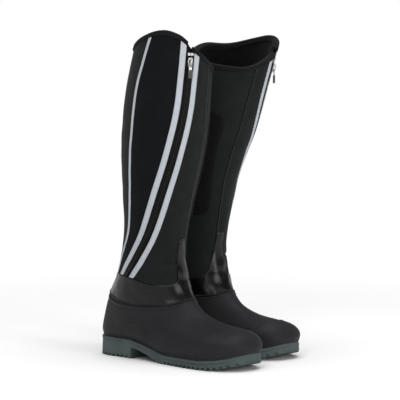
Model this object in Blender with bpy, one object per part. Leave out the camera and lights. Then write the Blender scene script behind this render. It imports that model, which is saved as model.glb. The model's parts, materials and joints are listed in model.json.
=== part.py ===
"""A pair of tall waterproof winter riding boots with a curved side zip.

Frame: +Z up, toes toward -Y, the wearer's right boot at -X and the left one at +X, the floor at z = 0.
Lengths are in millimetres here and become metres where vertices are made (MM). Angles are in degrees.

One smooth surface, upper_point(), describes the outside of a boot. A place on it is a station, which counts
how far down the boot it is, and an angle round the leg: 0 is the back, 90 the outer side, 180 the front and
270 the inner side. Every piece of the upper is a slab between two offsets from that surface.
"""

import functools
import math

import bmesh
import bpy
import numpy as np
from mathutils import Vector

MM = 0.001

# Driving dimensions of one boot
SOLE_LENGTH = 284.0
TOE_SPRING = 12.0
BREAST_Y = -78.0
FOREFOOT_Y = -150.0
BALL_Y = -225.0

# Placing of the pair
SPACING = 125.0
LEFT_SETBACK = 32.0
CENTRE_X = -11.2
CENTRE_Y = 126.0

# How far the top of the left shaft stands outward and forward of the right one's, as a soft shaft does
LEFT_LEAN = (24.0, 22.0)
LEAN_START = 250.0
LEAN_STRAIGHT = 330.0
LEAN_TOP = 450.0
SHAFT_MIDDLE_Y = -118.0

# The upper's outer surface: front line (y, z), back line (y, z), outer and inner half widths, and how
# square the back half of the section is (2 is an ellipse).
STATIONS = (
    ((-189.5, 492.0), (-75.0, 492.0), 51.5, 51.5, 2.0),
    ((-186.0, 440.0), (-62.0, 440.0), 55.0, 55.0, 2.0),
    ((-182.0, 392.0), (-51.0, 392.0), 58.5, 58.5, 2.0),
    ((-178.0, 345.0), (-45.0, 345.0), 59.0, 59.0, 2.0),
    ((-170.0, 300.0), (-42.0, 300.0), 56.5, 56.5, 2.0),
    ((-157.0, 245.0), (-42.5, 245.0), 49.0, 49.0, 2.0),
    ((-146.0, 190.0), (-43.0, 190.0), 41.5, 41.5, 2.0),
    ((-142.0, 150.0), (-36.5, 150.0), 41.5, 41.5, 2.0),
    ((-147.0, 125.0), (-29.5, 120.0), 43.0, 42.0, 2.0),
    ((-154.5, 103.0), (-15.0, 90.0), 43.0, 41.5, 2.1),
    ((-165.0, 88.0), (-5.5, 60.0), 41.5, 39.5, 2.3),
    ((-177.0, 77.0), (-3.5, 31.5), 39.5, 37.0, 2.7),
    ((-188.0, 69.5), (-40.0, 28.5), 39.5, 34.0, 4.0),
    ((-198.0, 65.0), (-76.0, 28.5), 41.0, 33.5, 4.5),
    ((-208.5, 61.5), (-113.0, 21.0), 43.5, 36.0, 5.0),
    ((-221.0, 58.5), (-151.0, 13.5), 47.0, 41.5, 5.0),
    ((-236.0, 56.5), (-188.0, 13.5), 48.5, 44.5, 5.0),
    ((-250.5, 54.5), (-222.0, 13.5), 46.5, 45.0, 5.0),
    ((-263.5, 51.5), (-249.0, 16.0), 41.5, 41.5, 4.5),
    ((-273.5, 46.0), (-268.0, 20.0), 31.5, 32.5, 4.0),
    ((-279.5, 38.0), (-277.0, 24.0), 20.0, 22.0, 3.0),
    ((-282.3, 31.0), (-281.0, 27.0), 6.0, 7.0, 2.0),
)

# Height of the collar edge, round the leg (angle, height)
COLLAR = ((0, 452), (40, 459), (75, 473), (110, 482), (135, 476), (150, 466), (162, 456), (175, 449),
          (193, 438), (215, 428), (250, 425), (285, 429), (325, 441), (360, 452))

# Top edge of the leather ankle panel, with the tongue in front (angle, height)
ANKLE_TOP = ((0, 124), (36, 124), (60, 123.5), (90, 120.5), (105, 117), (120, 113), (150, 112), (160, 114.5),
             (166, 118.5), (170, 124), (172.3, 132), (173, 150), (173.8, 178), (193, 180), (197, 152),
             (204, 136), (213, 121), (225, 113), (245, 109), (270, 108), (300, 112), (330, 119), (360, 124))

# Top edge of the rubber foot (angle, height)
GALOSH_TOP = ((0, 101), (45, 93), (90, 85), (135, 86), (180, 93), (225, 86), (270, 85), (315, 93), (360, 101))

# The zip's middle line (height, angle), straight from ZIP_STRAIGHT upwards, and the rear piping's line
ZIP_LINE = ((100, 64), (112, 68), (130, 80), (150, 94), (174, 107), (205, 119.5), (237, 129.5), (286, 141),
            (340, 149), (375, 153), (400, 154), (500, 154))
PIPING_LINE = ((100, 34), (121, 38), (150, 51), (176, 63), (200, 69), (245, 75), (300, 78), (400, 80),
               (440, 84), (500, 94))
FRONT_SEAM = 193.0
BACK_SEAM = 325.0

# Distances from the zip's middle line
TEETH = (0.2, 2.2)
TAPE = (3.0, 8.6)
PANEL_EDGE = 9.0
STRIPE = (5.3, 15.3)
ZIP_END = 446.0
SLIDER_HEIGHT = 437.0

# Offsets from the outer surface, outer face first
PANEL = (0.0, -1.8)
TAPE_LAYER = (-0.4, -1.6)
TEETH_LAYER = (0.9, -1.3)
STRIPE_LAYER = (1.9, 0.9)
PATCH_LAYER = (2.4, 1.3)
PIPING_LAYER = (2.3, 0.7)
GALOSH_LAYER = (0.6, -2.5)
STIFFENER_LAYER = (-4.4, -5.4)
FLAP_LAYER = (-8.0, -10.0)
LINING_SHAFT = (-4.4, -6.6)
LINING_FOOT = (-6.8, -9.0)

# Heights of the stacked layers above the outsole's top face
SOLE_GAP = 1.2
GALOSH_FLOOR = 3.6
SHANK_LEVEL = (4.8, 6.0)
BOARD_LEVEL = (6.4, 8.4)
LINING_LEVEL = (9.8, 12.2)
FOOTBED_LEVEL = (15.2, 19.0)

# The outsole's top face (y, height): flat under the heel, a straight fall to the forefoot, then the toe spring
PLATE_PLACES = (-22.0, -31.0, -44.0, -76.0, -113.0, -150.0, -186.0, -222.0, -240.0, -249.0)
SOLE_PROFILE = ((-284, 25), (-277, 22.5), (-268, 19.5), (-249, 15.5), (-222, 13), (-150, 13), (-76, 28), (0, 28))

# Rows up the shaft, as shares of the way from the ankle panel to the collar
ROWS = (0.0, 0.02, 0.045, 0.075, 0.125, 0.2, 0.27, 0.36, 0.46, 0.58, 0.72, 0.86, 1.0)
GAP = 0.3
EDGE_GAP = 0.8


def curve(points, at):
    """A smooth curve through hand-chosen points (x, value ...), read at x (cubic Hermite, local)."""
    xs = [p[0] for p in points]
    last = len(xs) - 2
    i = max(0, min(last, int(np.searchsorted(xs, at)) - 1))

    def slope(k):
        a = max(k - 1, 0)
        b = min(k + 1, len(xs) - 1)
        return (np.array(points[b][1:]) - np.array(points[a][1:])) / (xs[b] - xs[a])

    step = xs[i + 1] - xs[i]
    t = min(max((at - xs[i]) / step, 0.0), 1.0)
    p0, p1 = np.array(points[i][1:]), np.array(points[i + 1][1:])
    value = (
        p0 * (2 * t**3 - 3 * t**2 + 1)
        + slope(i) * step * (t**3 - 2 * t**2 + t)
        + p1 * (3 * t**2 - 2 * t**3)
        + slope(i + 1) * step * (t**3 - t**2)
    )
    return value if len(value) > 1 else float(value[0])


def line(points, at):
    """Straight runs between points (x, value), read at x, where x is an angle round the leg."""
    return float(np.interp(at % 360.0, [p[0] for p in points], [p[1] for p in points]))


def station_table():
    """STATIONS with a running length in front, half of what the front and back lines have covered."""
    table = []
    run = 0.0
    for k, (front, back, outer, inner, square) in enumerate(STATIONS):
        if k:
            before = STATIONS[k - 1]
            run += 0.5 * (math.dist(front, before[0]) + math.dist(back, before[1]))
        table.append((run, *front, *back, outer, inner, square))
    return table


TABLE = station_table()

# How far the ridge over the foot stands toward the inner side (station, millimetres)
INSTEP_RIDGE = ((0.0, 0.0), (TABLE[8][0], 0.0), (TABLE[11][0], 4.0), (TABLE[14][0], 7.0), (TABLE[17][0], 6.0),
                (TABLE[-1][0], 0.0))


def sole_top(y):
    """Height of the outsole's top face."""
    return float(np.interp(y, [p[0] for p in SOLE_PROFILE], [p[1] for p in SOLE_PROFILE]))


def toe_rise(y):
    """How far the toe spring lifts the sole."""
    past = max(0.0, (BALL_Y - y) / (SOLE_LENGTH + BALL_Y))
    return TOE_SPRING * past * past


@functools.lru_cache(maxsize=None)
def section(station):
    return tuple(float(v) for v in curve(TABLE, station))


def upper_point(station, angle):
    """A point of the outer surface of the right boot, whose outer side is at -X, in millimetres."""
    front_y, front_z, back_y, back_z, outer, inner, square = section(station)
    c = math.cos(math.radians(angle))
    s = math.sin(math.radians(angle))
    power = 2.0 / max(2.0, square) if c > 0 else 1.0
    along = 0.5 + 0.5 * math.copysign(abs(c) ** power, c)
    across = math.copysign(abs(s) ** power, s) * (outer if s > 0 else inner)
    across -= curve(INSTEP_RIDGE, station) * (1 - along) ** 2
    return Vector((-across, front_y + (back_y - front_y) * along, front_z + (back_z - front_z) * along))


def skin(station, angle, offset=0.0, floor=None):
    """A point at an offset from the outer surface, kept at least `floor` above the outsole's top face."""
    here = upper_point(station, angle)
    up = upper_point(station - 0.5, angle) - upper_point(station + 0.5, angle)
    turn = upper_point(station, angle + 0.5) - upper_point(station, angle - 0.5)
    normal = turn.cross(up)
    if normal.length > 1e-9:
        here = here + normal.normalized() * offset
    if floor is not None:
        here.z = max(here.z, sole_top(here.y) + floor)
    return here


def at_height(height, angle):
    """The station where the outer surface passes a height, found by halving."""
    low, high = 0.0, TABLE[11][0]
    for _ in range(26):
        middle = 0.5 * (low + high)
        if upper_point(middle, angle).z > height:
            low = middle
        else:
            high = middle
    return 0.5 * (low + high)


def reach(height, angle):
    """Millimetres of girth for each degree, at a height and an angle."""
    station = at_height(height, angle)
    return (upper_point(station, angle + 0.5) - upper_point(station, angle - 0.5)).length


def beside_zip(distance):
    """A line that runs beside the zip's middle line: a function from height to angle."""

    def angle_at(height):
        middle = curve(ZIP_LINE, height)
        per_degree = reach(height, middle)
        slant = per_degree * (curve(ZIP_LINE, height + 2) - curve(ZIP_LINE, height - 2)) / 4.0
        return middle + distance * math.hypot(1.0, slant) / per_degree

    return angle_at


def beside(line_at, distance):
    """A line moved sideways by a distance in millimetres, toward the front where it is positive."""
    return lambda height: line_at(height) + distance / reach(height, line_at(height))


def piping_angle(height):
    return curve(PIPING_LINE, height)


def front_seam(height):
    return FRONT_SEAM


def shaft_bottom(angle):
    return line(ANKLE_TOP, angle) + EDGE_GAP


def shaft_top(angle):
    return line(COLLAR, angle) - 3.0


def shaft_rows(left, right, columns, bottom=shaft_bottom, top=shaft_top, shares=ROWS):
    """Rows of (height, angle) between two lines. `columns` is a count, or the angles to put columns at."""
    rows = []
    for share in shares:
        row = []
        count = columns if isinstance(columns, int) else len(columns) - 1
        for k in range(count + 1):
            height = 250.0
            for _ in range(6):
                if isinstance(columns, int):
                    angle = left(height) + (right(height) - left(height)) * k / columns
                else:
                    angle = min(max(columns[k], left(height)), right(height))
                height = bottom(angle) + (top(angle) - bottom(angle)) * share
            row.append((at_height(height, angle), angle))
        rows.append(row)
    return rows


def material(name, colour, roughness, metallic=0.0):
    made = bpy.data.materials.get(name)
    if made is None:
        made = bpy.data.materials.new(name)
        made.use_nodes = True
        shader = made.node_tree.nodes["Principled BSDF"]
        shader.inputs["Base Color"].default_value = (*colour, 1.0)
        shader.inputs["Roughness"].default_value = roughness
        shader.inputs["Metallic"].default_value = metallic
    return made


NYLON = ("softshell", (0.012, 0.014, 0.014), 0.75)
SMOOTH = ("smooth_textile", (0.010, 0.011, 0.013), 0.6)
LEATHER = ("synthetic_leather", (0.012, 0.012, 0.013), 0.35)
RUBBER = ("moulded_rubber", (0.022, 0.023, 0.025), 0.55)
SOLE = ("sole_rubber", (0.075, 0.095, 0.090), 0.7)
REFLECTIVE = ("reflective_tape", (0.48, 0.50, 0.54), 0.4)
ZIP_CLOTH = ("zip_cloth", (0.014, 0.012, 0.012), 0.8)
ZIP_PLASTIC = ("zip_plastic", (0.020, 0.018, 0.018), 0.4)
METAL = ("nickel", (0.62, 0.62, 0.60), 0.25, 1.0)
FELT = ("felt", (0.020, 0.020, 0.022), 0.95)
BOARD = ("board", (0.25, 0.20, 0.14), 0.9)


def lean_shift(lean, point):
    """How far a leaning shaft stands from its upright place: a soft bend, then straight up to the top."""
    bend = LEAN_STRAIGHT - LEAN_START
    into_bend = min(max(point.z - LEAN_START, 0.0), bend)
    above = max(point.z - LEAN_STRAIGHT, 0.0)
    run = bend / 2 + LEAN_TOP - LEAN_STRAIGHT
    share = (into_bend * into_bend / (2 * bend) + above) / run
    slope = into_bend / bend / run
    tip = slope * (lean[0] * point.x + lean[1] * (point.y - SHAFT_MIDDLE_Y))
    return Vector((-lean[0] * share, -lean[1] * share, tip))


class Boot:
    """One boot: names its pieces with a prefix and mirrors the right boot's shape for the left one."""

    def __init__(self, prefix, mirror, place, lean):
        self.prefix = prefix
        self.mirror = mirror
        self.lean = lean
        self.root = bpy.data.objects.new(prefix + "_boot", None)
        self.root.location = Vector(place) * MM
        bpy.context.collection.objects.link(self.root)
        self.parents = {}

    def finish(self, name, mesh, look, parent=None):
        """Turns a bmesh in millimetres into a named object of this boot."""
        origin = Vector(parent.location) / MM if parent else Vector()
        for vertex in mesh.verts:
            vertex.co += lean_shift(self.lean, vertex.co)
            if self.mirror:
                vertex.co.x = -vertex.co.x
            vertex.co = (vertex.co - origin) * MM
        bmesh.ops.recalc_face_normals(mesh, faces=mesh.faces)
        data = bpy.data.meshes.new(self.prefix + "_" + name)
        mesh.to_mesh(data)
        mesh.free()
        data.shade_smooth()
        data.set_sharp_from_angle(angle=math.radians(40))
        data.materials.append(material(*look))
        made = bpy.data.objects.new(self.prefix + "_" + name, data)
        made.parent = parent or self.root
        bpy.context.collection.objects.link(made)
        return made

    def slab(self, name, rows, layer, look, wraps=False, tip=False, floors=(None, None), slot=None):
        """A closed slab between two offsets. `rows` hold (station, angle); `layer` may be a function.

        wraps joins the last column to the first, tip closes the last row with a face, and slot is the row
        down to which a wrapped slab stays open.
        """
        mesh = bmesh.new()
        layer_at = layer if callable(layer) else (lambda station: layer)
        faces_of = []
        for side in (0, 1):
            grid = []
            used = rows[:-1] if tip and side == 1 else rows
            for r, row in enumerate(used):
                made = []
                for c, (station, angle) in enumerate(row):
                    if wraps and slot is not None and c == len(row) - 1 and r > slot:
                        made.append(made[0])
                        continue
                    point = skin(station, angle, layer_at(station)[side], floors[side])
                    made.append(mesh.verts.new(point))
                if wraps and slot is None:
                    made.append(made[0])
                grid.append(made)
            faces_of.append(grid)
        outer, inner = faces_of
        height, width = len(outer), len(outer[0])
        for grid in (outer, inner):
            for r in range(len(grid) - 1):
                for c in range(width - 1):
                    mesh.faces.new((grid[r][c], grid[r][c + 1], grid[r + 1][c + 1], grid[r + 1][c]))
            if tip:
                mesh.faces.new(grid[-1][:-1])
        ends = [(0, c, 0, c + 1) for c in range(width - 1)]
        if not tip:
            ends += [(height - 1, c, height - 1, c + 1) for c in range(width - 1)]
        if not wraps or slot is not None:
            open_rows = height - 1 if not wraps else slot + 1
            ends += [(r, side, r + 1, side) for r in range(open_rows) for side in (0, width - 1)]
        for r0, c0, r1, c1 in ends:
            corners = (outer[r0][c0], outer[r1][c1], inner[r1][c1], inner[r0][c0])
            if len(set(corners)) == 4:
                mesh.faces.new(corners)
        return self.finish(name, mesh, look)

    def bar(self, name, rings, look, parent=None):
        """A closed solid through rings of points, with flat ends."""
        mesh = bmesh.new()
        made = [[mesh.verts.new(p) for p in ring] for ring in rings]
        count = len(made[0])
        for a, b in zip(made, made[1:]):
            for k in range(count):
                mesh.faces.new((a[k], a[(k + 1) % count], b[(k + 1) % count], b[k]))
        mesh.faces.new(made[0])
        mesh.faces.new(made[-1])
        return self.finish(name, mesh, look, parent)


def half_widths(y):
    """The outsole's outer and inner half widths at y, with a round heel and toe."""
    outer = curve(((-290, 47), (-245, 50), (-215, 51), (-185, 49), (-150, 44), (-115, 38), (-80, 35.5),
                   (-40, 35), (5, 34)), y)
    inner = curve(((-290, 47), (-245, 47), (-215, 46), (-185, 42), (-150, 34), (-115, 29), (-80, 31.5),
                   (-40, 34), (5, 34)), y)
    heel = min(1.0, max(0.0, -y) / 33.0)
    heel = math.sqrt(1 - (1 - heel) ** 2)
    toe_outer = min(1.0, max(0.0, SOLE_LENGTH + y) / 64.0)
    toe_inner = min(1.0, max(0.0, SOLE_LENGTH + y) / 52.0)
    toe_outer = (1 - (1 - toe_outer) ** 2.2) ** (1 / 2.2)
    toe_inner = (1 - (1 - toe_inner) ** 2.2) ** (1 / 2.2)
    return outer * heel * toe_outer, inner * heel * toe_inner


def sole_bottom(y):
    """Height of the outsole's underside, without its grooves."""
    if y > BREAST_Y:
        return 0.0
    past = min(max((y - BREAST_Y) / (FOREFOOT_Y - BREAST_Y), 0.0), 1.0)
    arch = 15.5 * (1 - past * past * (3 - 2 * past))
    return arch + toe_rise(y)


def outsole_rings():
    """Cross sections from heel to toe, with a groove across the tread between each pair of lugs."""
    groove, depth, wall = 3.6, 3.5, 0.5
    places = [(-33.0 * (1 - math.cos(math.radians(a))), False) for a in (14, 34, 54, 72)]
    for middle in (-30.0, -46.0, -62.0):
        places += [(middle + groove / 2 + wall, False), (middle + groove / 2, True)]
        places += [(middle - groove / 2, True), (middle - groove / 2 - wall, False)]
    places += [(BREAST_Y + 0.2, False), (BREAST_Y - 1.2, False), (-98, False), (-120, False), (-140, False)]
    for middle in (-160.0, -178.0, -196.0, -214.0, -232.0):
        places += [(middle + groove / 2 + wall, False), (middle + groove / 2, True)]
        places += [(middle - groove / 2, True), (middle - groove / 2 - wall, False)]
    places += [(-249.0, False), (-262.0, False), (-270.0, False), (-277.0, False), (-281.5, False), (-283.6, False)]
    rings = []
    for y, grooved in places:
        outer, inner = half_widths(y)
        low = sole_bottom(y) + (depth if grooved else 0.0)
        high = sole_top(y)
        bevel = min(2.0, 0.3 * min(outer, inner))
        rings.append([
            Vector((-outer + bevel, y, low)), Vector((-outer, y, low + bevel)),
            Vector((-outer, y, high - bevel)), Vector((-outer + bevel, y, high)),
            Vector((inner - bevel, y, high)), Vector((inner, y, high - bevel)),
            Vector((inner, y, low + bevel)), Vector((inner - bevel, y, low)),
        ])
    return rings


def plate_rings(inset, levels, places):
    """Cross sections at `places` of a plate that lies on the sole, `inset` inside the outsole's outline."""
    rings = []
    for y in places:
        outer, inner = half_widths(y)
        outer, inner = max(outer - inset, 2.0), max(inner - inset, 2.0)
        low, high = sole_top(y) + levels[0], sole_top(y) + levels[1]
        rings.append([Vector((-outer, y, low)), Vector((-outer, y, high)),
                      Vector((inner, y, high)), Vector((inner, y, low))])
    return rings


def build_foot(boot):
    boot.bar("outsole", outsole_rings(), SOLE)
    boot.bar("insole_board", plate_rings(12.0, BOARD_LEVEL, PLATE_PLACES), BOARD)
    boot.bar("footbed", plate_rings(16.0, FOOTBED_LEVEL, PLATE_PLACES[1:-2]), FELT)
    shank = []
    for y in (-48.0, -76.0, -113.0, -150.0):
        low, high = sole_top(y) + SHANK_LEVEL[0], sole_top(y) + SHANK_LEVEL[1]
        shank.append([Vector((-8, y, low)), Vector((-8, y, high)), Vector((8, y, high)), Vector((8, y, low))])
    boot.bar("shank", shank, METAL)

    angles = [18.0 * k for k in range(20)]
    rows = [[(at_height(line(GALOSH_TOP, a), a), a) for a in angles]]
    rows += [[(row[0], a) for a in angles] for row in TABLE[10:]]
    boot.slab("galosh", rows, GALOSH_LAYER, RUBBER, wraps=True, tip=True, floors=(SOLE_GAP, GALOSH_FLOOR))

    heel_angles = [-72.0 + 18.0 * k for k in range(9)]
    heel = [TABLE[10][0] - 9.0, TABLE[10][0], TABLE[10][0] + 7.0]
    boot.slab("heel_counter", [[(s, a) for a in heel_angles] for s in heel], STIFFENER_LAYER, BOARD)
    toe_angles = [82.5 + 19.5 * k for k in range(11)]
    toe = [TABLE[16][0], TABLE[17][0], TABLE[18][0], TABLE[19][0]]
    boot.slab("toe_puff", [[(s, a) for a in toe_angles] for s in toe], STIFFENER_LAYER, BOARD)


def lining_layer(station):
    """The lining stands further in where the rubber foot and its stiffeners are."""
    start, end = TABLE[7][0], TABLE[8][0] + 8.0
    share = min(max((station - start) / (end - start), 0.0), 1.0)
    return tuple(a + (b - a) * share for a, b in zip(LINING_SHAFT, LINING_FOOT))


def build_lining(boot):
    """One cup-shaped lining that is open along the zip."""
    slot_edge = 6.5
    columns = 16
    rows = []
    heights = (None, 400.0, 350.0, 300.0, 250.0, 210.0, 180.0, 150.0)
    left, right = beside_zip(slot_edge), beside_zip(-slot_edge)
    for height in heights:
        row = []
        for k in range(columns + 1):
            at = height or 450.0
            for _ in range(4):
                angle = left(at) + (right(at) + 360.0 - left(at)) * k / columns
                at = shaft_top(angle) if height is None else min(height, shaft_top(angle) - 6.0)
            row.append((at_height(at, angle), angle))
        rows.append(row)
    slot = len(rows) - 1
    start = curve(ZIP_LINE, 130.0)
    for station in [TABLE[8][0] - 8.0, TABLE[8][0] + 8.0] + [row[0] for row in TABLE[9:-3]]:
        rows.append([(station, start + 360.0 * k / columns) for k in range(columns + 1)])
    boot.slab("lining", rows, lining_layer, FELT, wraps=True, tip=True, floors=LINING_LEVEL, slot=slot)


def build_shaft(boot):
    zip_front, zip_rear = beside_zip(PANEL_EDGE), beside_zip(-PANEL_EDGE)
    half = 0.5 * GAP
    ankle_angles = [0, 15, 36, 45, 60, 75, 90, 105, 120, 135, 150, 160, 166, 170, 172.3, 173, 173.8,
                    180, 193, 197, 204, 213, 225, 245, 270, 285, 300, 315, 330, 345]
    top = [(at_height(line(ANKLE_TOP, a), a), a) for a in ankle_angles]
    bottom = [(at_height(line(GALOSH_TOP, a) + 1.6, a), a) for a in ankle_angles]
    rows = [[(t[0] + (b[0] - t[0]) * share, t[1]) for t, b in zip(top, bottom)] for share in (0, 0.5, 1)]
    boot.slab("ankle_panel", rows, PANEL, LEATHER, wraps=True)

    rear = shaft_rows(lambda h: BACK_SEAM - 360.0 + 0.3, beside(piping_angle, -half), 8)
    boot.slab("rear_strip", rear, PANEL, NYLON)
    lateral = shaft_rows(beside(piping_angle, half), zip_rear, 5)
    boot.slab("lateral_rear_panel", lateral, PANEL, SMOOTH)
    medial = shaft_rows(lambda h: FRONT_SEAM + 0.2, lambda h: BACK_SEAM,
                        [193.2, 197, 204, 213, 225, 235, 245, 257, 270, 285, 300, 315, 325])
    boot.slab("medial_panel", medial, PANEL, NYLON)
    boot.slab("front_panel", front_panel_rows(zip_front), PANEL, NYLON)

    patch_low, patch_high, corner_radius = 205.0, 357.0, 14.0
    patch = []
    for share in (0.0, 0.05, 0.15, 0.38, 0.62, 0.85, 0.95, 1.0):
        height = patch_low + (patch_high - patch_low) * share
        corner = corner_radius * (1 - math.sqrt(max(0.0, 1 - max(0.0, abs(share - 0.5) / 0.5 * 7 - 6) ** 2)))
        left, right = 213.0 + 5.0 * share + corner, 300.0 - corner
        patch.append([(at_height(height, left + (right - left) * k / 6), left + (right - left) * k / 6)
                      for k in range(7)])
    boot.slab("grip_patch", patch, PATCH_LAYER, RUBBER)

    def trim_top(angle):
        return shaft_top(angle) - 9.5

    for name, line_at, half_width, look in (("rear_piping", piping_angle, 2.6, REFLECTIVE),
                                            ("front_piping", front_seam, 1.3, LEATHER)):
        rows = shaft_rows(beside(line_at, -half_width), beside(line_at, half_width), 1, top=trim_top)
        boot.slab(name, rows, PIPING_LAYER, look)

    def zip_top(angle):
        return ZIP_END

    for name, sign in (("front", 1), ("rear", -1)):
        for piece, span, layer, look, top_at in (
            ("zip_tape_", TAPE, TAPE_LAYER, ZIP_CLOTH, shaft_top),
            ("zip_teeth_", TEETH, TEETH_LAYER, ZIP_PLASTIC, zip_top),
            ("stripe_", STRIPE, STRIPE_LAYER, REFLECTIVE, trim_top),
        ):
            near, far = beside_zip(sign * span[0]), beside_zip(sign * span[1])
            if sign < 0:
                near, far = far, near
            boot.slab(piece + name, shaft_rows(near, far, 1, top=top_at), layer, look)
    flap_half, flap_low, flap_drop = 15.0, 152.0, 14.0
    flap = shaft_rows(beside_zip(-flap_half), beside_zip(flap_half), 3, bottom=lambda a: flap_low,
                      top=lambda a: shaft_top(a) - flap_drop)
    boot.slab("storm_flap", flap, FLAP_LAYER, SMOOTH)
    build_collar(boot)


def front_panel_rows(zip_front):
    """Rows from the zip to the front seam; low down they stop at the ankle panel's tongue."""
    tongue = [(114.8, 160.0), (118.9, 165.6), (124.6, 169.5), (132.3, 171.9), (150.2, 172.6), (178.4, 173.4)]
    rows = []
    columns = 5
    for k, share in enumerate(ROWS):
        left = shaft_rows(zip_front, zip_front, 1, shares=(share,))[0][0]
        left_height = upper_point(*left).z
        if k < len(tongue):
            right_height, right_angle = tongue[k]
        else:
            rise = (share - ROWS[len(tongue)]) / (1 - ROWS[len(tongue)])
            right_angle = FRONT_SEAM - 0.15
            low = line(ANKLE_TOP, right_angle) + GAP
            right_height = low + (shaft_top(right_angle) - low) * rise
        row = []
        for c in range(columns + 1):
            part = c / columns
            angle = left[1] + (right_angle - left[1]) * part
            height = left_height + (right_height - left_height) * part
            if k == len(ROWS) - 1:
                height = shaft_top(angle)
            row.append((at_height(height, angle), angle))
        rows.append(row)
    return rows


def build_collar(boot):
    """The bound edge: an upside-down U that straddles the panels and the lining, open at the zip."""
    outside, inside, depth, cover = (2.5, 1.5), (-8.0, -8.9), 9.0, 1.4
    rings = []
    first, last = beside_zip(4.8)(450.0), beside_zip(-4.8)(455.0) + 360.0
    for angle in (first, 175, 193, 204, 215, 232, 250, 268, 285, 305, 325, 342, 360, 380, 400, 418, 435,
                  452, 470, 482, 495, last):
        edge = line(COLLAR, angle)
        profile = ((outside[0], edge - depth), (outside[0], edge + cover), (inside[1], edge + cover),
                   (inside[1], edge - depth), (inside[0], edge - depth), (inside[0], edge),
                   (outside[1], edge), (outside[1], edge - depth))
        rings.append([skin(at_height(height, angle), angle, offset) for offset, height in profile])
    boot.bar("collar_binding", rings, SMOOTH)


def zip_frame(height):
    """Origin on the surface at the zip's middle line, and unit vectors down, outward and across."""
    def middle(at, offset=0.0):
        angle = curve(ZIP_LINE, at)
        return skin(at_height(at, angle), angle, offset)

    down = (middle(385.0) - middle(455.0)).normalized()
    outward = middle(height, 1.0) - middle(height)
    outward = (outward - down * outward.dot(down)).normalized()
    return middle(height), down, outward, outward.cross(down).normalized()


def block(frame, down, outward, across):
    """Rings of a box given by its ranges along the zip, outward and across, in a zip frame."""
    origin, d, o, a = frame
    corners = ((outward[0], across[0]), (outward[1], across[0]), (outward[1], across[1]),
               (outward[0], across[1]))
    return [[origin + d * along + o * out + a * side for out, side in corners] for along in down]


def build_zip_hardware(boot):
    for name, side in (("front", (0.5, 4.2)), ("rear", (-4.2, -0.5))):
        boot.bar("zip_top_stop_" + name, block(zip_frame(ZIP_END), (-5.0, -1.2), (0.2, 1.8), side), METAL)
    bottom_rows = shaft_rows(beside_zip(-3.2), beside_zip(3.2), 1, bottom=lambda a: shaft_bottom(a) + 1.0,
                             top=lambda a: shaft_bottom(a) + 6.0, shares=(0.0, 1.0))
    boot.slab("zip_bottom_stop", bottom_rows, (2.4, 1.3), METAL)

    slider_empty = bpy.data.objects.new(boot.prefix + "_slider_axis", None)
    slider_empty.parent = boot.root
    bpy.context.collection.objects.link(slider_empty)
    origin, down, outward, across = zip_frame(SLIDER_HEIGHT)
    mesh = bmesh.new()
    plate = (((-7.0, 3.4), (-3.0, 3.9), (6.5, 2.8)), (1.6, 3.1))
    made = []
    for out in plate[1]:
        ring = []
        for along, half in plate[0]:
            ring.append(origin + down * along + outward * out + across * half)
        for along, half in reversed(plate[0]):
            ring.append(origin + down * along + outward * out - across * half)
        made.append([mesh.verts.new(p) for p in ring])
    count = len(made[0])
    for k in range(count):
        mesh.faces.new((made[0][k], made[0][(k + 1) % count], made[1][(k + 1) % count], made[1][k]))
    mesh.faces.new(made[0])
    mesh.faces.new(made[1])
    slider = boot.finish("zip_slider", mesh, METAL, slider_empty)
    bridge = bmesh.new()
    outline = ((-5.0, 2.6), (-5.0, 6.4), (4.0, 6.4), (4.0, 2.6), (2.6, 2.6), (2.6, 5.2), (-3.6, 5.2),
               (-3.6, 2.6))
    walls = [[bridge.verts.new(origin + down * along + outward * out + across * side)
              for along, out in outline] for side in (-1.1, 1.1)]
    for k in range(len(outline)):
        n = (k + 1) % len(outline)
        bridge.faces.new((walls[0][k], walls[0][n], walls[1][n], walls[1][k]))
    bridge.faces.new(walls[0])
    bridge.faces.new(walls[1])
    arch = boot.finish("slider_bridge_cutter", bridge, METAL, slider_empty)
    arch.hide_render = True
    arch.display_type = "WIRE"
    union = slider.modifiers.new("bridge", "BOOLEAN")
    union.operation = "UNION"
    union.object = arch

    pivot = origin + down * 1.6 + outward * 4.1
    hang = Vector((0, 0, -1))
    away = (outward - hang * outward.dot(hang)).normalized()
    side = away.cross(hang).normalized()
    axis = bpy.data.objects.new(boot.prefix + "_pull_axis", None)
    axis.parent = slider_empty
    at = pivot + lean_shift(boot.lean, pivot)
    if boot.mirror:
        at.x = -at.x
    axis.location = at * MM
    bpy.context.collection.objects.link(axis)
    build_pull(boot, pivot, hang, away, side, axis)


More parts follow.
